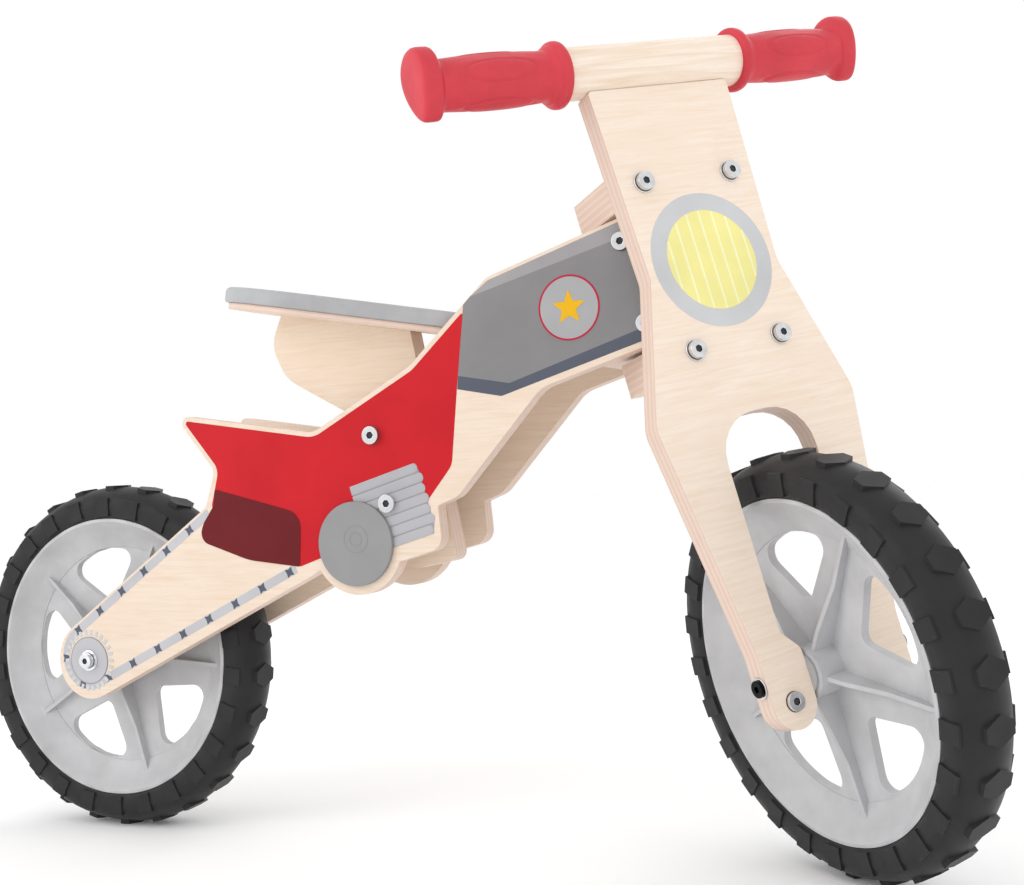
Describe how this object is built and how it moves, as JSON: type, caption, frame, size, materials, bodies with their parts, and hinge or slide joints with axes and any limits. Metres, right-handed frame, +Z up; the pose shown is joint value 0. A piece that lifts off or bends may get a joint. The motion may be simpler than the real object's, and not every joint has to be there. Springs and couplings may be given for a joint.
{
  "type": "balance bike",
  "caption": "Wooden toddler balance bike with plywood side panels, turning fork plate, moulded spoked wheels, knobbly tyres, red grips and a height-adjustable padded seat.",
  "frame": {"origin": "middle of the bounding box on the ground, with the fork turned to the rider's right as stored", "axes": "+X forward along the frame, +Y to the rider's left, +Z up; the front wheel and handlebar are turned 40 degrees to the right at rest"},
  "size_m": [0.8478, 0.287, 0.5955],
  "materials": {
    "plywood": "clear satin lacquer",
    "beech": "clear satin lacquer",
    "steel": "bright plated",
    "black_steel": "black oxide",
    "grey_disc": "matt grey",
    "pad": "soft light grey padding",
    "nylon": "natural nylon",
    "rim_plastic": "light grey semi-gloss",
    "tyre": "matt black foam rubber",
    "grip_rubber": "soft red"
  },
  "bodies": {
    "frame": {"frame_panel_right": "plywood", "frame_panel_left": "plywood", "head_block": "plywood", "head_screws": "steel", "engine_disc_right": "grey_disc", "engine_disc_left": "grey_disc", "clamp_bolts": "steel", "clamp_nuts": "steel", "post_spacers": "nylon", "rear_axle": "steel", "rear_axle_bolts": "steel", "rear_washers": "steel", "rear_spacers": "nylon"},
    "seat": {"seat_post": "plywood", "seat_board": "plywood", "seat_pad": "pad", "seat_screws": "steel"},
    "rear_wheel": {"rear_rim": "rim_plastic", "rear_tyre": "tyre", "rear_bushes": "nylon"},
    "fork": {"fork_plate": "plywood", "upper_block": "plywood", "lower_block": "plywood", "fork_screws": "steel", "fork_washers": "steel", "steering_pin": "steel", "steering_nut": "steel", "nylon_washers": "nylon", "handlebar": "beech", "handlebar_screws": "steel", "grip_right": "grip_rubber", "grip_left": "grip_rubber", "front_axle": "steel", "front_axle_bolts": "black_steel", "front_washers": "steel", "cross_bolts": "steel", "cross_nuts": "steel", "hub_washers": "nylon"},
    "front_wheel": {"front_rim": "rim_plastic", "front_tyre": "tyre", "front_bushes": "nylon"}
  },
  "joints": [
    {"name": "steering", "type": "hinge", "parent": "frame", "child": "fork", "pos_m": [0.21328, 0.02282, 0.40079], "axis": [-0.2462, 0, 0.9692], "range_deg": [-3, 83]},
    {"name": "seat_height", "type": "slide", "parent": "frame", "child": "seat", "axis": [-0.2079, 0, 0.9781], "range_m": [0, 0.03]},
    {"name": "rear_wheel_spin", "type": "hinge", "parent": "frame", "child": "rear_wheel", "pos_m": [-0.28383, 0.02282, 0.13989], "axis": [0, 1, 0], "continuous": true},
    {"name": "front_wheel_spin", "type": "hinge", "parent": "fork", "child": "front_wheel", "pos_m": [0.30759, 0, 0.13991], "axis": [0.623, 0.766, 0.1582], "continuous": true}
  ]
}
